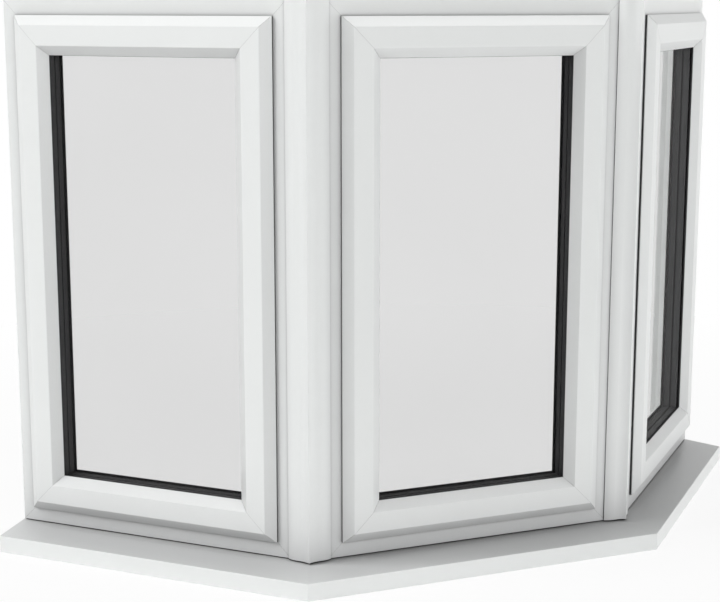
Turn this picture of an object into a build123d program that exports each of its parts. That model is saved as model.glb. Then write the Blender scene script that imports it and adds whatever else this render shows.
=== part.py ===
from build123d import *
from math import cos, radians, sin, tan
import os

# White uPVC bay window in three equal lights: one light in front and one turned back on
# each side, joined by two bay posts and standing on a bent, sloping cill.
# Millimetres, +Z up, the front light faces -Y. The origin lies under the middle of the
# box around the window, level with the underside of the cill.
#
# A "light" here is one window of the bay: an outer frame, a sash that laps over its face,
# and a sealed triple glazed unit. Profiles are drawn as (in, out, rounding) corners:
#   in  = distance from the outer edge of the ring towards its middle
#   out = distance in front of the face of the outer frame, negative towards the room

# Driving dimensions
FRAME_WIDTH = 610
FRAME_HEIGHT = 1054
FRAME_DEPTH = 76
BAY_TURN = 45                # each side light turns back by this many degrees
POST_REACH = 39              # from the corner where the frame faces would meet to a frame

# Outer frame profile
FRAME_BODY = 36              # solid part, from the outer edge to the rebate
FRAME_UPSTAND = 24           # inner leg that the sash closes against
FRAME_UPSTAND_DEPTH = 18
FRAME_EDGE_BEVEL = 4
FRAME_EDGE_ROUND = 1.5

# Sash profile
SASH_MARGIN = 27             # face of the outer frame left showing beside the sash
SASH_MARGIN_LEVEL = 29       # the same above and below it
SASH_PROUD = 20              # sash face in front of the frame face
SASH_EDGE = 1.5              # blunt edge of the flange
SASH_CHAMFER = 19            # sloping outer edge
SASH_FLAT = 38.5
SASH_BEVEL = 18.5            # sloping inner edge down to the glass
SASH_LIP = 1                 # blunt end of that slope
SASH_FLANGE_GAP = 4          # sash flange to frame face, filled by the weather gasket
SASH_CLEARANCE = 4           # sash body to the frame rebate
SASH_BACK_GAP = 2            # sash back to the frame upstand
SASH_FACE_ROUND = 2.5        # soft edges of the sash face
SASH_EDGE_ROUND = 0.8
WELD_GROOVE = 0.3            # groove cleaned along each welded mitre: depth, and width per side

# Glazing: pane, cavity, pane, cavity, pane
GLASS_OUT = 0                # outer pane is level with the face of the outer frame
PANE = 4
SPACER_WIDTH = 9
SPACER_SETBACK = 3           # spacer bars stop short of the edge of the white profile
GLASS_EDGE_COVER = 15        # how far the profiles hold the edge of the glass
GLASS_CLEARANCE = 4          # glass edge to the bottom of the sash rebate
OUTER_GASKET = 3
INNER_GASKET = 2
GASKET_WIDTH = 7
GASKET_LIP = 0.5             # rubber that shows beyond the white profile
BEAD_DEPTH = 14              # bead holding the unit from the room side
BEAD_NOSE = 1.2
BEAD_SPLAY = 12.8            # how far the bead narrows towards the room
BEAD_JOINT = 0.3             # gap at the mitres of the clipped-in beads

# Weather gaskets between sash and outer frame
WEATHER_SETBACK = 0.5
WEATHER_WIDTH = 6
BACK_SEAL_SETBACK = 4
BACK_SEAL_WIDTH = 8

# Bay posts: a tube between two covers
TUBE_RADIUS = 25
TUBE_WALL = 4
TUBE_SETBACK = 34            # corner to the middle of the tube, along the post's middle line
TUBE_CLEARANCE = 0.3
COVER_LAP = 4                # outer cover over the frame face
COVER_EDGE = 2.5             # height of a wing's outer edge over the frame face
COVER_PROUD = 7.3            # crest of each wing in front of the frame face
COVER_SHOULDER = 21          # outer edge to crest, gently rounded
COVER_HOLLOW = 1.8           # depth of the hollow between crest and ridge
COVER_RIDGE = 12.5           # ridge in front of the frame corner
COVER_RIDGE_ROUND = 2
COVER_JOINT = 1              # between outer and inner cover, beside the tube
INNER_LAP = 16
INNER_PROUD = 4
INNER_ROUND = 2

# Cill
CILL_PROJECTION = 84         # nose in front of the frame face
CILL_NOSE = 34.5             # height of the upright nose
CILL_NOSE_ROUND = 1.5
CILL_FALL = 9.5              # drop of the sloping top from the frame face to the nose
CILL_GAP = 2.5               # shadow gap under the frame at its face
CILL_SEAT_SETBACK = 6        # front of the level seat, behind the frame face
CILL_DRIP_SETBACK = 12
CILL_DRIP_WIDTH = 5
CILL_DRIP_DEPTH = 4
CILL_END_CAP = 3

# Sizes that follow from these
HALF_TURN = BAY_TURN / 2
SASH_WIDTH = FRAME_WIDTH - 2 * SASH_MARGIN
SASH_HEIGHT = FRAME_HEIGHT - 2 * SASH_MARGIN_LEVEL
SIGHT_LINE = SASH_CHAMFER + SASH_FLAT + SASH_BEVEL
REBATE_BASE = SIGHT_LINE - GLASS_EDGE_COVER - GLASS_CLEARANCE
GLASS_EDGE = SIGHT_LINE - GLASS_EDGE_COVER
SASH_BODY_EDGE = FRAME_BODY + SASH_CLEARANCE - SASH_MARGIN
FRAME_SEAT = FRAME_UPSTAND_DEPTH - FRAME_DEPTH
SASH_BACK = FRAME_SEAT + SASH_BACK_GAP
BEAD_OUT = SASH_BACK + BEAD_DEPTH
GLASS_IN = BEAD_OUT + INNER_GASKET
CAVITY = (GLASS_OUT - GLASS_IN - 3 * PANE) / 2
CORNER_X = FRAME_WIDTH / 2 + POST_REACH
SIDE_LENGTH = POST_REACH + FRAME_WIDTH
CILL_HEIGHT = CILL_GAP + CILL_FALL + CILL_NOSE
FRONT_Y = -CILL_PROJECTION
BACK_Y = (SIDE_LENGTH + CILL_END_CAP) * sin(radians(BAY_TURN)) + FRAME_DEPTH * cos(radians(BAY_TURN))
MIDDLE_Y = (FRONT_Y + BACK_Y) / 2
ORIGIN = Pos(0, -MIDDLE_Y, CILL_HEIGHT)


def side_light_place(turn):
    """Middle of a light's face at frame bottom: turn is -1 left, 0 front, +1 right."""
    if turn == 0:
        return ORIGIN
    along = POST_REACH + FRAME_WIDTH / 2
    x = turn * (CORNER_X + along * cos(radians(BAY_TURN)))
    y = along * sin(radians(BAY_TURN))
    return ORIGIN * Pos(x, y, 0) * Rot(0, 0, turn * BAY_TURN)


LIGHTS = {"left": side_light_place(-1), "front": side_light_place(0), "right": side_light_place(1)}


def ring_sides(width, height, lift=0):
    """Planes for the four sides of a ring. Local x points in, y out, z along the side."""
    half = width / 2
    return {
        "bottom": (Plane((-half, 0, lift), x_dir=(0, 0, 1), z_dir=(1, 0, 0)), width),
        "top": (Plane((half, 0, lift + height), x_dir=(0, 0, -1), z_dir=(-1, 0, 0)), width),
        "left": (Plane((-half, 0, lift + height), x_dir=(1, 0, 0), z_dir=(0, 0, -1)), height),
        "right": (Plane((half, 0, lift), x_dir=(-1, 0, 0), z_dir=(0, 0, 1)), height),
    }


def rounded_face(corners):
    """Closed face through (in, out, rounding) corners."""
    face = Polygon(*[corner[:2] for corner in corners], align=None)
    for inwards, outwards, rounding in corners:
        if rounding:
            corner = face.vertices().sort_by_distance((inwards, outwards, 0))[0]
            face = fillet(corner, rounding)
    return face


def cut_to_mitres(face, length, short):
    """The face run along a side, its ends cut at 45 degrees and kept short of the mitre lines."""
    box = face.bounding_box()
    deep = box.max.X + 1
    front = box.max.Y + 1
    outline = Polygon((0, short), (0, length - short), (deep, length - deep - short),
                      (deep, deep + short), align=None)
    wedge = extrude(Plane.XZ.offset(-front) * outline, front - box.min.Y + 1, dir=(0, -1, 0))
    return extrude(face, length, dir=(0, 0, 1)) & wedge


def mitred_side(profile, plane, length, joint=0, groove=0):
    """One side of a ring. A welded mitre is closed inside and has a fine groove all round."""
    face = rounded_face(profile)
    side = cut_to_mitres(face, length, joint + groove)
    if groove:
        side += cut_to_mitres(offset(face, -groove), length, joint)
    return plane * side


def square_ring(width, height, lift, band, out_face, in_face):
    """A continuous ring of rectangular section, width by height outside."""
    thick = out_face - in_face
    middle = Pos(0, -(out_face + in_face) / 2, lift + height / 2)
    return middle * (Box(width, thick, height) - Box(width - 2 * band, 2 * thick, height - 2 * band))


def frame_profile():
    upstand = FRAME_BODY + FRAME_UPSTAND
    return [(0, 0, 0), (FRAME_BODY, 0, FRAME_EDGE_ROUND), (FRAME_BODY, FRAME_SEAT, 0),
            (upstand, FRAME_SEAT, FRAME_EDGE_ROUND), (upstand, FRAME_EDGE_BEVEL - FRAME_DEPTH, 0),
            (upstand - FRAME_EDGE_BEVEL, -FRAME_DEPTH, 0), (0, -FRAME_DEPTH, 0)]


def sash_profile():
    lip = GLASS_OUT + OUTER_GASKET
    return [(0, SASH_FLANGE_GAP, 0), (0, SASH_FLANGE_GAP + SASH_EDGE, SASH_EDGE_ROUND),
            (SASH_CHAMFER, SASH_PROUD, SASH_FACE_ROUND),
            (SASH_CHAMFER + SASH_FLAT, SASH_PROUD, SASH_FACE_ROUND), (SIGHT_LINE, lip + SASH_LIP, 0),
            (SIGHT_LINE, lip, 0), (REBATE_BASE, lip, 0), (REBATE_BASE, SASH_BACK, 0),
            (SASH_BODY_EDGE, SASH_BACK, SASH_EDGE_ROUND), (SASH_BODY_EDGE, SASH_FLANGE_GAP, 0)]


def bead_profile():
    """Glazing bead, splayed towards the room."""
    return [(REBATE_BASE, BEAD_OUT, 0), (SIGHT_LINE, BEAD_OUT, 0), (SIGHT_LINE, BEAD_OUT - BEAD_NOSE, 0),
            (SIGHT_LINE - BEAD_SPLAY, SASH_BACK, 0), (REBATE_BASE, SASH_BACK, 0)]


def frame_members():
    names = {"bottom": "frame_bottom_rail", "top": "frame_head", "left": "frame_left_jamb",
             "right": "frame_right_jamb"}
    sides = ring_sides(FRAME_WIDTH, FRAME_HEIGHT)
    return {names[side]: mitred_side(frame_profile(), *sides[side], groove=WELD_GROOVE)
            for side in sides}


def sash_members():
    names = {"bottom": "sash_bottom_rail", "top": "sash_top_rail", "left": "sash_left_stile",
             "right": "sash_right_stile"}
    sides = ring_sides(SASH_WIDTH, SASH_HEIGHT, SASH_MARGIN_LEVEL)
    return {names[side]: mitred_side(sash_profile(), *sides[side], groove=WELD_GROOVE)
            for side in sides}


def glazing_beads():
    sides = ring_sides(SASH_WIDTH, SASH_HEIGHT, SASH_MARGIN_LEVEL)
    return [mitred_side(bead_profile(), *sides[side], joint=BEAD_JOINT) for side in sides]


def sash_ring(inset, band, out_face, in_face):
    """A square ring whose outer edge lies inset from the sash's outer edge."""
    return square_ring(SASH_WIDTH - 2 * inset, SASH_HEIGHT - 2 * inset, SASH_MARGIN_LEVEL + inset,
                       band, out_face, in_face)


def weather_gaskets():
    """Front seal under the sash flange and back seal against the frame upstand."""
    front = sash_ring(WEATHER_SETBACK, WEATHER_WIDTH, SASH_FLANGE_GAP, 0)
    back = sash_ring(SASH_BODY_EDGE + BACK_SEAL_SETBACK, BACK_SEAL_WIDTH, SASH_BACK, FRAME_SEAT)
    return [front, back]


def glazing_gaskets():
    inset = SIGHT_LINE + GASKET_LIP - GASKET_WIDTH
    outer = sash_ring(inset, GASKET_WIDTH, GLASS_OUT + OUTER_GASKET, GLASS_OUT)
    inner = sash_ring(inset, GASKET_WIDTH, GLASS_IN, BEAD_OUT)
    return [outer, inner]


def glass_panes():
    width = SASH_WIDTH - 2 * GLASS_EDGE
    height = SASH_HEIGHT - 2 * GLASS_EDGE
    pane = Box(width, PANE, height)
    pitch = PANE + CAVITY
    lift = SASH_MARGIN_LEVEL + SASH_HEIGHT / 2
    return [Pos(0, PANE / 2 - GLASS_OUT + pitch * number, lift) * pane for number in range(3)]


def spacer_bars():
    inset = SIGHT_LINE - SPACER_SETBACK - SPACER_WIDTH
    first = GLASS_OUT - PANE
    pitch = PANE + CAVITY
    return [sash_ring(inset, SPACER_WIDTH, first - pitch * number, first - pitch * number - CAVITY)
            for number in range(2)]


def post_point(along, out, side=1):
    """Point of a post's plan from a place on one light: along from the corner, out from its face.
    Local y runs outwards on the middle line of the post."""
    turn = radians(HALF_TURN)
    return (side * (along * cos(turn) + out * sin(turn)), out * cos(turn) - along * sin(turn))


def post_place(turn):
    return ORIGIN * Pos(turn * CORNER_X, 0, 0) * Rot(0, 0, 180 + turn * HALF_TURN)


def half_plan(points):
    """Closed half of a post's plan, from a list of edges' points, mirrored on the middle line."""
    half = make_face(points)
    return half + mirror(half, Plane.YZ)


def tube_plan():
    return Pos(0, -TUBE_SETBACK) * Circle(TUBE_RADIUS)


def side_wall_at(depth):
    """Point where the side of a frame crosses a line at this depth behind the corner."""
    turn = radians(HALF_TURN)
    out = (POST_REACH * sin(turn) - depth) / cos(turn)
    return post_point(POST_REACH, out)


def outer_cover_plan():
    """Two wings, each rounded from its edge to a crest and hollow from there to the middle ridge."""
    turn = radians(HALF_TURN)
    edge = POST_REACH + COVER_LAP
    ridge = (0, COVER_RIDGE / cos(turn))
    crest = post_point(edge - COVER_SHOULDER, COVER_PROUD)
    edge_top = post_point(edge, COVER_EDGE)
    back = TUBE_SETBACK - COVER_JOINT / 2
    outline = [
        SagittaArc(ridge, crest, -COVER_HOLLOW),
        TangentArc(crest, edge_top, tangent=(cos(turn), -sin(turn))),
        Polyline(edge_top, post_point(edge, 0), post_point(POST_REACH, 0), side_wall_at(back),
                 (0, -back), ridge),
    ]
    plan = half_plan(outline)
    ridge_corner = plan.vertices().sort_by(Axis.Y)[-1]
    return fillet(ridge_corner, COVER_RIDGE_ROUND) - Pos(0, -TUBE_SETBACK) * Circle(TUBE_RADIUS + TUBE_CLEARANCE)


def inner_cover_plan():
    """Fills the wedge behind the tube and laps over the room side of both frames."""
    edge = POST_REACH + INNER_LAP
    face = -FRAME_DEPTH - INNER_PROUD
    front = TUBE_SETBACK + COVER_JOINT / 2
    turn = radians(HALF_TURN)
    inner_corner = (0, face / cos(turn))
    round_start = post_point(edge - INNER_ROUND, face)
    round_end = post_point(edge, face + INNER_ROUND)
    outline = [
        Polyline(inner_corner, (0, -front), side_wall_at(front), post_point(POST_REACH, -FRAME_DEPTH),
                 post_point(edge, -FRAME_DEPTH), round_end),
        RadiusArc(round_end, round_start, INNER_ROUND),
        Line(round_start, inner_corner),
    ]
    return half_plan(outline) - Pos(0, -TUBE_SETBACK) * Circle(TUBE_RADIUS + TUBE_CLEARANCE)


def post_pieces():
    tube = tube_plan() - Pos(0, -TUBE_SETBACK) * Circle(TUBE_RADIUS - TUBE_WALL)
    plans = {"post_tube": tube, "post_outer_cover": outer_cover_plan(), "post_inner_cover": inner_cover_plan()}
    return {name: extrude(plan, FRAME_HEIGHT, dir=(0, 0, 1)) for name, plan in plans.items()}


def cill_section():
    """Section in (out, height) with the frame's underside at height 0."""
    slope = CILL_FALL / CILL_PROJECTION
    nose_top = -CILL_GAP - CILL_FALL
    seat_front = -CILL_SEAT_SETBACK
    drip = CILL_PROJECTION - CILL_DRIP_SETBACK
    points = [
        (-FRAME_DEPTH, 0), (seat_front, 0), (seat_front, -CILL_GAP - slope * seat_front),
        (CILL_PROJECTION, nose_top), (CILL_PROJECTION, -CILL_HEIGHT),
        (drip, -CILL_HEIGHT), (drip, CILL_DRIP_DEPTH - CILL_HEIGHT),
        (drip - CILL_DRIP_WIDTH, CILL_DRIP_DEPTH - CILL_HEIGHT), (drip - CILL_DRIP_WIDTH, -CILL_HEIGHT),
        (-FRAME_DEPTH, -CILL_HEIGHT),
    ]
    section = Polygon(*points, align=None)
    nose_edges = section.vertices().sort_by(Axis.X)[-2:]
    return fillet(nose_edges, CILL_NOSE_ROUND)


def cill_bar(start, length):
    """Cill run along a light's local x from start."""
    plane = Plane((start, 0, 0), x_dir=(0, -1, 0), z_dir=(1, 0, 0))
    section = plane * mirror(cill_section(), Plane.XZ)
    return extrude(section, length, dir=(1, 0, 0))


def cill_plan(left_mitre, right_mitre):
    """Plan of one cill length, cut along the middle lines of the posts or square at its end."""
    front = CILL_PROJECTION + 1
    back = -FRAME_DEPTH - 1
    spread = tan(radians(HALF_TURN))
    half = FRAME_WIDTH / 2

    def end(mitred, out):
        return half + (POST_REACH + out * spread if mitred else 0)

    outline = Polygon((-end(left_mitre, front), -front), (end(right_mitre, front), -front),
                      (end(right_mitre, back), -back), (-end(left_mitre, back), -back), align=None)
    return Pos(0, 0, -CILL_HEIGHT - 1) * extrude(outline, CILL_HEIGHT + 2, dir=(0, 0, 1))


def cill_length(left_mitre, right_mitre):
    reach = FRAME_WIDTH / 2 + POST_REACH + CILL_PROJECTION
    return cill_bar(-reach, 2 * reach) & cill_plan(left_mitre, right_mitre)


def write(name, solids):
    """One STEP file per node."""
    solids = [solid for shape in solids for solid in shape.solids()]
    shape = solids[0] if len(solids) == 1 else Compound(children=solids)
    shape.label = name
    export_step(shape, os.path.join("parts", name + ".step"))
    print(f"{name}: {len(solids)} solid(s), {sum(solid.volume for solid in solids) / 1000:.1f} cm3")


os.makedirs("parts", exist_ok=True)
for light, place in LIGHTS.items():
    for member, solid in (frame_members() | sash_members()).items():
        write(f"{light}_{member}", [place * solid])
    groups = {"glazing_beads": glazing_beads(), "gaskets": weather_gaskets() + glazing_gaskets(),
              "glass_panes": glass_panes(), "spacer_bars": spacer_bars()}
    for group, solids in groups.items():
        write(f"{light}_{group}", [place * solid for solid in solids])

for side, turn in (("left", -1), ("right", 1)):
    for piece, solid in post_pieces().items():
        write(f"{side}_{piece}", [post_place(turn) * solid])

write("front_cill", [LIGHTS["front"] * cill_length(True, True)])
write("left_cill", [LIGHTS["left"] * cill_length(False, True)])
write("right_cill", [LIGHTS["right"] * cill_length(True, False)])
write("cill_end_caps", [LIGHTS["left"] * cill_bar(-FRAME_WIDTH / 2 - CILL_END_CAP, CILL_END_CAP),
                        LIGHTS["right"] * cill_bar(FRAME_WIDTH / 2, CILL_END_CAP)])
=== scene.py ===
# %% [markdown]
# # A white uPVC bay window
#
# The object is a bay of three windows: one in front and one turned back by 45 degrees on
# each side. Two bay posts join them, and all of it stands on a bent, sloping cill.
# All its pieces were made in CAD and stay as they are. What is left to make here is what
# the eye reads as plastic, rubber, glass and metal, and the light that shows the profiles
# of the frames.

import math

import bpy
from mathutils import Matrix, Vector


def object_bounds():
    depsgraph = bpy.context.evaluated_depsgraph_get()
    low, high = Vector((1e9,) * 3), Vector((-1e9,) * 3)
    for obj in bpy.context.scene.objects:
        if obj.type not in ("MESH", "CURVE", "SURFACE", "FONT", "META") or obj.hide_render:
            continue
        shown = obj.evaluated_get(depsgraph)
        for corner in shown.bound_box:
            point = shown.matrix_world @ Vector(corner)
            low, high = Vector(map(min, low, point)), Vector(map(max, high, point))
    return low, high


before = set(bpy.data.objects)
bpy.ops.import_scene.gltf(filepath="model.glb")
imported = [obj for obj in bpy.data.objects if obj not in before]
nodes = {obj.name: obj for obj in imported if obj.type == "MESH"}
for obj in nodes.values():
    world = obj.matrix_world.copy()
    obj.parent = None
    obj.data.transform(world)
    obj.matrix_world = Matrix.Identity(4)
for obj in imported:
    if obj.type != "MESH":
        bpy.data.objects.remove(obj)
cad_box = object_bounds()
size = cad_box[1] - cad_box[0]
print(f"CAD nodes: {len(nodes)}, box {size.x:.3f} x {size.y:.3f} x {size.z:.3f} m")

# %% [markdown]
# ## Colours and nodes
#
# A colour is easiest to pick as an sRGB hex value, as a paint chart gives it. Cycles
# works in linear light, so one function turns every hex value to linear. Another adds a
# shader node: it sets the node's own properties, and fills each input with either a plain
# value or a link. With it each material reads as a short list.

# %% Helpers for colours and nodes
def linear(hex_colour):
    """Linear RGBA of an sRGB colour such as "#F0F0EE"."""
    values = [int(hex_colour[i:i + 2], 16) / 255 for i in (1, 3, 5)]
    return [v / 12.92 if v <= 0.04045 else ((v + 0.055) / 1.055) ** 2.4 for v in values] + [1]


def add(tree, kind, inputs=None, **settings):
    """Adds a node with its settings. An input is a value, or another node's output to link."""
    made = tree.nodes.new(kind)
    for name, value in settings.items():
        setattr(made, name, value)
    for name, value in (inputs or {}).items():
        if isinstance(value, bpy.types.NodeSocket):
            tree.links.new(value, made.inputs[name])
        else:
            made.inputs[name].default_value = value
    return made


def new_material(name):
    """An empty material and its node tree."""
    material = bpy.data.materials.new(name)
    material.use_nodes = True
    material.node_tree.nodes.clear()
    return material, material.node_tree


MM = 0.001
print("mid grey #808080 is", round(linear("#808080")[0], 3), "in linear light")

# %% [markdown]
# ## Skin of the white uPVC
#
# The frames, sashes, beads, post covers and cill are rigid PVC, pushed through a heated
# die and cooled in a sizing block. That leaves a smooth skin with a soft gloss, a faint
# orange peel, and very fine lines along the length of each profile where the die has
# worn. An image of plastic would repeat and would not follow the profiles, so the skin is
# noise, and for the lines it is stretched along the piece. Both reliefs are far too low to
# be worth a finer mesh, so they are bump nodes, one on top of the other.

# %% Orange peel and die lines
DIE_LINE_PITCH = 5 * MM      # real lines are 0.5 mm apart: drawn coarser, so that they show
DIE_LINE_HEIGHT = 0.012 * MM
LINE_STRETCH = 100           # a line is so many times as long as it is wide
ORANGE_PEEL_SIZE = 9 * MM
ORANGE_PEEL_HEIGHT = 0.02 * MM


def extruded_skin(tree, along):
    """The normal of a skin with orange peel, and with die lines along a direction."""
    place = add(tree, "ShaderNodeTexCoord").outputs["Object"]
    turn = Vector(along).rotation_difference(Vector((1, 0, 0))).to_euler()
    turned = add(tree, "ShaderNodeMapping", {"Vector": place, "Rotation": turn}).outputs[0]
    drawn_out = add(tree, "ShaderNodeMapping", {
        "Vector": turned, "Scale": (1 / LINE_STRETCH, 1, 1)}).outputs[0]
    lines = add(tree, "ShaderNodeTexNoise", {
        "Vector": drawn_out, "Scale": 1 / DIE_LINE_PITCH, "Detail": 2})
    peel = add(tree, "ShaderNodeTexNoise", {
        "Vector": place, "Scale": 1 / ORANGE_PEEL_SIZE, "Detail": 1})
    peeled = add(tree, "ShaderNodeBump", {
        "Height": peel.outputs["Fac"], "Distance": ORANGE_PEEL_HEIGHT})
    drawn = add(tree, "ShaderNodeBump", {
        "Height": lines.outputs["Fac"], "Distance": DIE_LINE_HEIGHT, "Normal": peeled.outputs[0]})
    return drawn.outputs[0]


print(f"die lines {DIE_LINE_PITCH / MM:g} mm apart, orange peel {ORANGE_PEEL_SIZE / MM:g} mm wide")

# %% [markdown]
# ## Indoors and outdoors
#
# Outdoors the white plastic carries painted shade. The room side has none, so it stays
# plain white. The room side begins well behind the outer face of each frame. A dot product
# with the way that a face looks tells how far a point lies in front of that face or behind
# it, and a point that is behind all three faces is indoors.

# %% Behind the outer faces of the frames
SLANT = math.sqrt(0.5)       # a side light looks as far to the side as to the front
FACE_WAYS = {"left": (-SLANT, -SLANT, 0), "front": (0, -1, 0), "right": (SLANT, -SLANT, 0)}
FAR_BEHIND = -1.0            # metres, so that every point of the window lies ahead of it
INDOORS_DEPTH = 30 * MM      # behind the outer face of a frame
INDOORS_EDGE = 5 * MM        # over which outdoors gives way to indoors


def face_distance(light):
    """How far the outer face of a light's frame lies from the middle of the bay."""
    rail = nodes[f"{light}_frame_bottom_rail"].data
    return max(Vector(FACE_WAYS[light]).dot(vertex.co) for vertex in rail.vertices)


def indoors(tree):
    """1 on the room side, 0 outdoors."""
    place = add(tree, "ShaderNodeTexCoord").outputs["Object"]
    ahead_of_faces = FAR_BEHIND
    for light, way in FACE_WAYS.items():
        along = add(tree, "ShaderNodeVectorMath", {0: place, 1: way}, operation="DOT_PRODUCT")
        ahead = add(tree, "ShaderNodeMath", {
            0: along.outputs["Value"], 1: face_distance(light)}, operation="SUBTRACT")
        ahead_of_faces = add(tree, "ShaderNodeMath", {
            0: ahead.outputs[0], 1: ahead_of_faces}, operation="MAXIMUM").outputs[0]
    return add(tree, "ShaderNodeMapRange", {
        "Value": ahead_of_faces, "From Min": -INDOORS_DEPTH - INDOORS_EDGE,
        "From Max": -INDOORS_DEPTH, "To Min": 1.0, "To Max": 0.0}).outputs[0]


for light in FACE_WAYS:
    print(f"outer face of the {light} frame: {face_distance(light) / MM:.1f} mm from the middle")

# %% [markdown]
# ## Colour of the white uPVC
#
# Titanium dioxide makes the plastic a cool white. Outdoors its colour carries painted shade.
# It is greyer wherever other pieces hide part of the open air, such as under the sashes and
# on the cill close to the frames. It is nearly black in the open joint between the frames and
# the cill, where a shadow falls. The Ambient Occlusion node finds those places, because they
# see less of the open air, and a colour ramp turns that into painted black shadow, grey or white.

# %% White, painted grey shade and painted black shadow
UPVC_WHITE = "#EBEDEC"
UPVC_PAINTED_SHADE = (          # share of the open air that a place sees, and its colour
    (0.28, "#1C1C1B"),       # painted black shadow in the open joints
    (0.36, "#B0B0B0"),
    (0.48, "#B8B9B9"),
    (0.58, "#CCCDCD"),
    (0.70, "#D0D1D1"),
    (1.00, UPVC_WHITE),
)
PAINTED_SHADE_REACH = 200 * MM     # how far away a piece can cast painted shade on a place
PAINTED_SHADE_SAMPLES = 16


def white_with_painted_shade(tree):
    """The colour of the plastic: painted shade outdoors, by the share of open air, and plain white
    indoors.
    """
    open_air = add(tree, "ShaderNodeAmbientOcclusion", {"Distance": PAINTED_SHADE_REACH},
                   samples=PAINTED_SHADE_SAMPLES)
    open_air_or_room = add(tree, "ShaderNodeMath", {0: open_air.outputs["AO"], 1: indoors(tree)},
                operation="MAXIMUM")
    colour = add(tree, "ShaderNodeValToRGB", {"Fac": open_air_or_room.outputs[0]})
    stops = colour.color_ramp.elements
    while len(stops) < len(UPVC_PAINTED_SHADE):
        stops.new(1.0)
    for stop, (share, shade) in zip(stops, UPVC_PAINTED_SHADE):
        stop.position = share
        stop.color = linear(shade)
    return colour.outputs["Color"]


# the ramp's colours run from painted black shadow to white
print("colours from dirt to white:", [shade for share, shade in UPVC_PAINTED_SHADE])

# %% [markdown]
# ## White uPVC
#
# Rigid PVC has an IOR of about 1.53, and the soft gloss of the sizing block is a roughness
# near 0.3 that changes slowly from place to place. The profiles run in four directions,
# and the die lines with them, so there is one material for each.

# %% One uPVC for each direction of a profile
UPVC_IOR = 1.53
UPVC_ROUGHNESS = (0.28, 0.34)
GLOSS_PATCHES = 3            # to the metre
NOISE_SPREAD = (0.2, 0.8)    # the values between which nearly all of a noise lies


def white_upvc(name, along):
    """Extruded PVC whose die lines run along a direction."""
    material, tree = new_material(name)
    place = add(tree, "ShaderNodeTexCoord").outputs["Object"]
    patches = add(tree, "ShaderNodeTexNoise", {
        "Vector": place, "Scale": GLOSS_PATCHES, "Detail": 3})
    gloss = add(tree, "ShaderNodeMapRange", {
        "Value": patches.outputs["Fac"], "From Min": NOISE_SPREAD[0], "From Max": NOISE_SPREAD[1],
        "To Min": UPVC_ROUGHNESS[0], "To Max": UPVC_ROUGHNESS[1]}, interpolation_type="SMOOTHSTEP")
    shader = add(tree, "ShaderNodeBsdfPrincipled", {
        "Base Color": white_with_painted_shade(tree), "Roughness": gloss.outputs[0], "IOR": UPVC_IOR,
        "Normal": extruded_skin(tree, along)})
    add(tree, "ShaderNodeOutputMaterial", {"Surface": shader.outputs[0]})
    return material


upvc = {
    "upright": white_upvc("white_upvc_upright", (0, 0, 1)),
    "front": white_upvc("white_upvc_front_level", (1, 0, 0)),
    "left": white_upvc("white_upvc_left_level", (SLANT, -SLANT, 0)),
    "right": white_upvc("white_upvc_right_level", (SLANT, SLANT, 0)),
}
print("uPVC:", [material.name for material in upvc.values()])

# %% [markdown]
# ## Black EPDM rubber
#
# The seals between sash and frame and along the edges of the glass are extruded EPDM
# rubber. Carbon black makes it nearly black, and its skin is matt and a little grainy,
# paler where it was cut and stretched. Its IOR is about 1.5, but tiny pores swallow half
# of what such a face would mirror. The grain could be a bump alone, but real grains are
# also paler on top, so one noise drives both the colour and the bump.

# %% EPDM rubber
EPDM_BLACK = "#2B2B2C"
EPDM_WORN = "#373738"
EPDM_GRAIN = 1.5 * MM
EPDM_GRAIN_HEIGHT = 0.05 * MM
EPDM_ROUGHNESS = 0.75
EPDM_IOR = 1.5
EPDM_MIRRORING = 0.25        # a face without pores has 0.5


def epdm_rubber():
    """Matt black rubber with a fine grain."""
    material, tree = new_material("black_epdm_rubber")
    place = add(tree, "ShaderNodeTexCoord").outputs["Object"]
    grain = add(tree, "ShaderNodeTexNoise", {
        "Vector": place, "Scale": 1 / EPDM_GRAIN, "Detail": 2})
    colour = add(tree, "ShaderNodeMix", {
        "Factor": grain.outputs["Fac"], "A": linear(EPDM_BLACK), "B": linear(EPDM_WORN)},
        data_type="RGBA")
    skin = add(tree, "ShaderNodeBump", {
        "Height": grain.outputs["Fac"], "Distance": EPDM_GRAIN_HEIGHT})
    shader = add(tree, "ShaderNodeBsdfPrincipled", {
        "Base Color": colour.outputs["Result"], "Roughness": EPDM_ROUGHNESS, "IOR": EPDM_IOR,
        "Specular IOR Level": EPDM_MIRRORING, "Normal": skin.outputs[0]})
    add(tree, "ShaderNodeOutputMaterial", {"Surface": shader.outputs[0]})
    return material


rubber = epdm_rubber()
print("rubber:", rubber.name)

# %% [markdown]
# ## Spacer bars
#
# The bars that hold the panes apart are a warm-edge plastic, moulded hollow and filled
# with drying beads. Fine slits in the side that faces the cavity let the beads take up
# moisture. The plastic is a nearly matt dark grey. Slits cut into the mesh would be far
# too small to show, so each slit is painted shade: a darker colour where the opening is dark
# inside.
# A Voronoi texture without randomness puts its cells in even rows, and the middle of each cell is
# a slit.

# %% Warm-edge spacer bar
SPACER_GREY = "#3E3E3F"
# the slits' colour is painted shade of the openings
SPACER_SLIT_SHADE = "#303031"
SLIT_PITCH = 6 * MM          # real slits are about 2 mm apart: drawn coarser, so that they show
SLIT_EDGE = (0.12, 0.22)     # of the pitch, from the middle of a slit
SPACER_ROUGHNESS = 0.65
SPACER_IOR = 1.5
SPACER_MIRRORING = 0.25      # its fine ribs break up the mirroring: a plain face has 0.5


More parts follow.
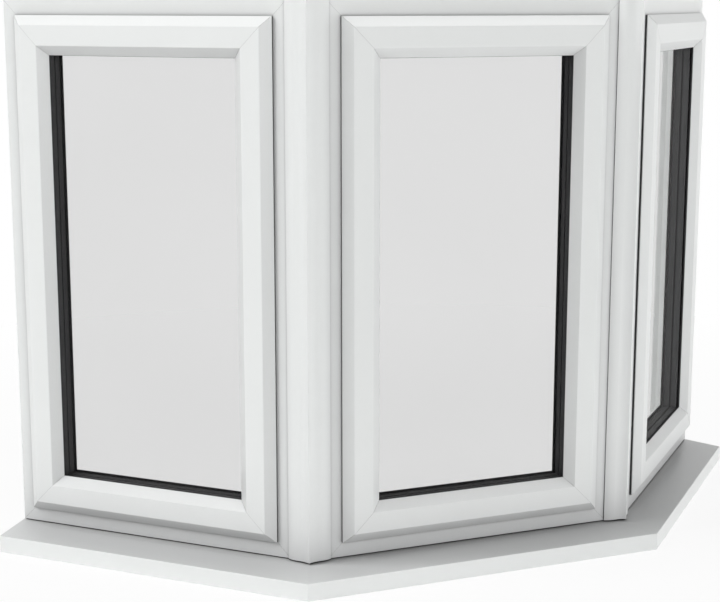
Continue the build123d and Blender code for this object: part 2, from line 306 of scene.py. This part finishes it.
def spacer_plastic():
    """Dark grey plastic with rows of slits drawn as painted shade."""
    material, tree = new_material("grey_spacer_plastic")
    place = add(tree, "ShaderNodeTexCoord").outputs["Object"]
    slits = add(tree, "ShaderNodeTexVoronoi", {
        "Vector": place, "Scale": 1 / SLIT_PITCH, "Randomness": 0.0})
    hole = add(tree, "ShaderNodeMapRange", {
        "Value": slits.outputs["Distance"], "From Min": SLIT_EDGE[0], "From Max": SLIT_EDGE[1],
        "To Min": 1.0, "To Max": 0.0})
    colour = add(tree, "ShaderNodeMix", {
        "Factor": hole.outputs[0], "A": linear(SPACER_GREY), "B": linear(SPACER_SLIT_SHADE)},
        data_type="RGBA")
    shader = add(tree, "ShaderNodeBsdfPrincipled", {
        "Base Color": colour.outputs["Result"], "Roughness": SPACER_ROUGHNESS,
        "IOR": SPACER_IOR, "Specular IOR Level": SPACER_MIRRORING})
    add(tree, "ShaderNodeOutputMaterial", {"Surface": shader.outputs[0]})
    return material


spacer = spacer_plastic()
print("spacer:", spacer.name)

# %% [markdown]
# ## Float glass
#
# Each pane is 4 mm float glass, cast on molten tin, so both faces are flat and polished.
# Its IOR is 1.52. Iron in the sand makes it faintly green and the low-emissivity coatings
# make it faintly warm, so that three panes look grey together and pass about three
# quarters of the light. A Principled shader with full transmission would bend the light
# as well, and three such panes make a slow, noisy picture. Flat panes shift what is behind
# them very little, so here each face lets light straight through with a tint, and a
# Fresnel node mixes in a mirror. As the light isn't bent on its way in, that node would
# take a slanting ray at the far face of a pane for one that can't leave the glass, so that
# face gets no mirror. Where one light is seen through another, a ray crosses twelve faces.
# Cycles turns a ray black after eight, so that limit is raised.

# %% Float glass
GLASS_GREY = "#F9F9F9"       # of one face, and a ray crosses six
GLASS_PALE = "#FAFAFA"
PALE_SHARE = 0.5             # the most of the pale tint that a place takes
WAVE_LENGTH = 250 * MM       # slow waves from the molten tin
GLASS_IOR = 1.52
PANE_FACES = 6               # two faces on each of the three panes of a light
COATED_SHARE = 0.12          # what the coatings leave of the mirroring of a bare face
PLAIN_WHITE = (1, 1, 1, 1)


def float_glass():
    """Flat clear glass: a tint for what passes through, and a faint mirror."""
    material, tree = new_material("float_glass")
    place = add(tree, "ShaderNodeTexCoord").outputs["Object"]
    waves = add(tree, "ShaderNodeTexNoise", {
        "Vector": place, "Scale": 1 / WAVE_LENGTH, "Detail": 0})
    pale = add(tree, "ShaderNodeMapRange", {"Value": waves.outputs["Fac"], "To Max": PALE_SHARE})
    tint = add(tree, "ShaderNodeMix", {
        "Factor": pale.outputs[0], "A": linear(GLASS_GREY), "B": linear(GLASS_PALE)},
        data_type="RGBA")
    clear = add(tree, "ShaderNodeBsdfTransparent", {"Color": tint.outputs["Result"]})
    mirror = add(tree, "ShaderNodeBsdfGlossy", {"Color": PLAIN_WHITE, "Roughness": 0.0})
    fresnel = add(tree, "ShaderNodeFresnel", {"IOR": GLASS_IOR})
    face = add(tree, "ShaderNodeNewGeometry")
    coated = add(tree, "ShaderNodeMapRange", {
        "Value": face.outputs["Backfacing"], "To Min": COATED_SHARE, "To Max": 0.0})
    share = add(tree, "ShaderNodeMath", {0: fresnel.outputs[0], 1: coated.outputs[0]},
                operation="MULTIPLY")
    mix = add(tree, "ShaderNodeMixShader", {
        0: share.outputs[0], 1: clear.outputs[0], 2: mirror.outputs[0]})
    add(tree, "ShaderNodeOutputMaterial", {"Surface": mix.outputs[0]})
    return material


glass = float_glass()
bpy.context.scene.cycles.transparent_max_bounces = 2 * PANE_FACES   # one light behind another
print("glass:", glass.name)

# %% [markdown]
# ## Mill aluminium
#
# The tube in each bay post carries the load, and shows only from above and below. It is
# aluminium as it leaves the extruder: bare metal with fine lines along its length. A metal
# keeps the default IOR, and its colour is what it mirrors. The lines could come from an
# anisotropic gloss, but so little of the tube shows that stretched noise is enough.

# %% Mill aluminium
ALUMINIUM = "#D8DADB"
ALUMINIUM_DULL = "#BFC1C3"
ALUMINIUM_LINE_PITCH = 1 * MM    # real lines are finer: drawn coarser, so that they show
ALUMINIUM_ROUGHNESS = (0.35, 0.55)


def mill_aluminium():
    """Bare extruded aluminium with fine upright lines."""
    material, tree = new_material("mill_aluminium")
    place = add(tree, "ShaderNodeTexCoord").outputs["Object"]
    drawn_out = add(tree, "ShaderNodeMapping", {
        "Vector": place, "Scale": (1, 1, 1 / LINE_STRETCH)}).outputs[0]
    lines = add(tree, "ShaderNodeTexNoise", {
        "Vector": drawn_out, "Scale": 1 / ALUMINIUM_LINE_PITCH, "Detail": 3})
    colour = add(tree, "ShaderNodeMix", {
        "Factor": lines.outputs["Fac"], "A": linear(ALUMINIUM), "B": linear(ALUMINIUM_DULL)},
        data_type="RGBA")
    gloss = add(tree, "ShaderNodeMapRange", {
        "Value": lines.outputs["Fac"], "To Min": ALUMINIUM_ROUGHNESS[0],
        "To Max": ALUMINIUM_ROUGHNESS[1]})
    shader = add(tree, "ShaderNodeBsdfPrincipled", {
        "Base Color": colour.outputs["Result"], "Metallic": 1.0, "Roughness": gloss.outputs[0]})
    add(tree, "ShaderNodeOutputMaterial", {"Surface": shader.outputs[0]})
    return material


aluminium = mill_aluminium()
print("aluminium:", aluminium.name)

# %% [markdown]
# ## Finishes for the CAD pieces
#
# The finishes could be given by hand, one piece after another. But the name of each CAD
# node says what the piece is, so the finish follows from the name.
# An upright member gets the uPVC with upright die lines, and a rail, head or cill gets
# the one whose lines run along its own light. The glazing beads of a light lie both ways,
# but they are one piece and too narrow to show which way their lines run.

# %% Give each CAD piece its finish
OTHER_FINISHES = {
    "gaskets": rubber,
    "glass_panes": glass,
    "spacer_bars": spacer,
    "post_tube": aluminium,
}
UPRIGHT = ("jamb", "stile", "cover")


def finish_of(name):
    """The material of a piece, from the last words and the first word of its name."""
    for words, material in OTHER_FINISHES.items():
        if name.endswith(words):
            return material
    if name.endswith(UPRIGHT):
        return upvc["upright"]
    light = name.split("_")[0]
    return upvc.get(light, upvc["left"])    # the end caps of the cill belong to no light


for name, piece in nodes.items():
    piece.data.materials.clear()
    piece.data.materials.append(finish_of(name))
print("finished", len(nodes), "pieces")

# %% [markdown]
# ## Floor
#
# A product on a white ground wants a floor that looks white but still takes a soft
# shadow. Rays from the camera, and those that come through glass, see mostly a plain white
# of strength 1 there and a small share of the floor's own shading. That share fades away
# from the window, so that the floor meets a white world without a line. Mirror rays see a
# floor that is a little dimmer, because a room that is white all round would lie on the
# glass like milk. The floor also glows, as a light table does, so that the undersides of
# the frames aren't dull.

# %% Floor
FLOOR_RADIUS = 8
FLOOR_SIDES = 96
FLOOR_WHITE = "#E6E6E6"
FLOOR_GLOW = 0.22
SHADOW_SHARE = 0.12          # how much of the floor's shading shows to the camera
SHADOW_REACH = (1.0, 2.5)    # metres from the middle over which that share fades to nothing
ROOM_DIM = 0.8               # strength of the room in a mirror

bpy.ops.mesh.primitive_circle_add(vertices=FLOOR_SIDES, radius=FLOOR_RADIUS, fill_type="NGON")
floor = bpy.context.object
floor.name = "floor"
floor.visible_shadow = False      # it takes shadows, but casts none, and adds no painted shade to the edge of the cill


def seen_or_mirrored(tree):
    """Whether a ray comes from the camera or through glass, and whether it was mirrored."""
    ray = add(tree, "ShaderNodeLightPath")
    seen = add(tree, "ShaderNodeMath", {
        0: ray.outputs["Is Camera Ray"], 1: ray.outputs["Is Transmission Ray"]},
        operation="MAXIMUM")
    return seen.outputs[0], ray.outputs["Is Glossy Ray"]


def pale_floor():
    """A matt light table that looks plain white but for a soft shadow."""
    material, tree = new_material("pale_floor")
    seen, mirrored = seen_or_mirrored(tree)
    either = add(tree, "ShaderNodeMath", {0: seen, 1: mirrored}, operation="MAXIMUM")
    place = add(tree, "ShaderNodeTexCoord").outputs["Object"]
    away = add(tree, "ShaderNodeVectorMath", {0: place}, operation="LENGTH").outputs["Value"]
    plain_share = add(tree, "ShaderNodeMapRange", {
        "Value": away, "From Min": SHADOW_REACH[0], "From Max": SHADOW_REACH[1],
        "To Min": 1 - SHADOW_SHARE, "To Max": 1.0})
    share = add(tree, "ShaderNodeMath", {0: either.outputs[0], 1: plain_share.outputs[0]},
                operation="MULTIPLY")
    strength = add(tree, "ShaderNodeMapRange", {"Value": seen, "To Min": ROOM_DIM, "To Max": 1.0})
    matt = add(tree, "ShaderNodeBsdfDiffuse", {"Color": linear(FLOOR_WHITE)})
    glow = add(tree, "ShaderNodeEmission", {"Color": PLAIN_WHITE, "Strength": FLOOR_GLOW})
    table = add(tree, "ShaderNodeAddShader", {0: matt.outputs[0], 1: glow.outputs[0]})
    plain = add(tree, "ShaderNodeEmission", {
        "Color": PLAIN_WHITE, "Strength": strength.outputs[0]})
    mix = add(tree, "ShaderNodeMixShader", {
        0: share.outputs[0], 1: table.outputs[0], 2: plain.outputs[0]})
    add(tree, "ShaderNodeOutputMaterial", {"Surface": mix.outputs[0]})
    return material


floor.data.materials.append(pale_floor())
print("floor radius", FLOOR_RADIUS, "m")

# %% [markdown]
# ## World
#
# The world is the backdrop and the rest of the room. Rays from the camera and through
# glass see it plain white. A mirror ray sees that white only in a cone towards the
# backdrop behind the window, and elsewhere the dimmer room where the camera and the lamps
# stand. To all other rays the world gives a faint light from all sides, so that no corner
# is lost in black.

# %% World
WORLD_LIGHT = 0.1
BACKDROP_WAY = Vector((0.37, 0.93, 0))      # the way that the camera looks, kept level
BACKDROP_HALF_WIDTH = math.radians(32)


def studio_world():
    """White to the camera, a backdrop and a dimmer room in mirrors, and a faint light."""
    world = bpy.data.worlds.new("studio")
    world.use_nodes = True
    tree = world.node_tree
    tree.nodes.clear()
    seen, mirrored = seen_or_mirrored(tree)
    way = add(tree, "ShaderNodeTexCoord").outputs["Generated"]
    towards = add(tree, "ShaderNodeVectorMath", {0: way, 1: BACKDROP_WAY.normalized()},
                  operation="DOT_PRODUCT").outputs["Value"]
    backdrop = add(tree, "ShaderNodeMath", {0: towards, 1: math.cos(BACKDROP_HALF_WIDTH)},
                   operation="GREATER_THAN").outputs[0]
    room = add(tree, "ShaderNodeMapRange", {"Value": backdrop, "To Min": ROOM_DIM, "To Max": 1.0})
    unseen = add(tree, "ShaderNodeMix", {
        "Factor": mirrored, "A": WORLD_LIGHT, "B": room.outputs[0]})
    strength = add(tree, "ShaderNodeMix", {
        "Factor": seen, "A": unseen.outputs["Result"], "B": 1.0})
    sky = add(tree, "ShaderNodeBackground", {
        "Color": PLAIN_WHITE, "Strength": strength.outputs["Result"]})
    add(tree, "ShaderNodeOutputWorld", {"Surface": sky.outputs[0]})
    return world


bpy.context.scene.world = studio_world()
print("world light", WORLD_LIGHT)

# %% [markdown]
# ## Lamps
#
# Soft boxes light a white object best: their wide edges give the sloping faces of the
# profiles different greys without hard shadows. They stand 12 m away, so that the light
# is nearly as strong at the head of the frames as at the cill. The key stands high on the
# left. One box fills from in front, one low on the right lifts the undersides, and one
# behind lights the room side. Of these four only the front one shows in the gloss, where
# the others would glare. The last two light nothing and only gleam, which brightens the
# edges that slope up and leaves the greys of the other faces alone.

# %% Soft boxes
AIM = Vector((0, -0.2, 0.5))
LAMP_DISTANCE = 12


def soft_box(name, azimuth, elevation, width, watts, lights=True, gleams=True):
    """A square area light. Azimuth 0 stands in front of the middle light, 90 on the right."""
    lamp = bpy.data.lights.new(name, "AREA")
    lamp.shape = "SQUARE"
    lamp.size = width
    lamp.energy = watts
    box = bpy.data.objects.new(name, lamp)
    turn = math.radians(azimuth)
    rise = math.radians(elevation)
    way = Vector((math.sin(turn) * math.cos(rise), -math.cos(turn) * math.cos(rise),
                  math.sin(rise)))
    box.location = AIM + way * LAMP_DISTANCE
    box.rotation_euler = way.to_track_quat("Z", "Y").to_euler()
    box.visible_diffuse = lights
    box.visible_glossy = gleams
    bpy.context.scene.collection.objects.link(box)
    print(f"{name}: {watts} W from {azimuth} degrees round and {elevation} up")


soft_box("key", -97, 41, 4, 950, gleams=False)
soft_box("front", 0, 15, 6, 535)
soft_box("low_right", 70, -5, 6, 570, gleams=False)
soft_box("back", 160, 8, 6, 400, gleams=False)
soft_box("left_gleam", -101, 62, 6, 240, lights=False)
soft_box("front_gleam", 55, 63, 6, 440, lights=False)

# %% [markdown]
# ## Camera
#
# The window is seen from its left, from about the height of its head, and a little from
# above. A 78 mm lens from about 3 m away keeps the uprights nearly parallel. A shorter
# lens from nearer would make them lean, and a longer one would flatten the bay.

# %% Camera
LENS = 77.99
SENSOR_WIDTH = 36
CAMERA_PLACE = Vector((-1.3142, -2.8810, 1.0962))
CAMERA_TURN = math.radians(21.95)   # towards the right of straight ahead
CAMERA_DIP = math.radians(10.85)
LEVEL = math.radians(90)            # a camera that isn't turned looks straight down
VIEW_DEPTH = 100                    # in metres, well past the edge of the floor

camera = bpy.data.objects.new("camera", bpy.data.cameras.new("camera"))
camera.data.lens = LENS
camera.data.sensor_width = SENSOR_WIDTH
camera.location = CAMERA_PLACE
camera.data.clip_end = VIEW_DEPTH
camera.rotation_euler = (LEVEL - CAMERA_DIP, 0, -CAMERA_TURN)
bpy.context.scene.collection.objects.link(camera)
bpy.context.scene.camera = camera
bpy.context.scene.view_settings.view_transform = "Standard"
print("camera at", tuple(round(v, 3) for v in CAMERA_PLACE))
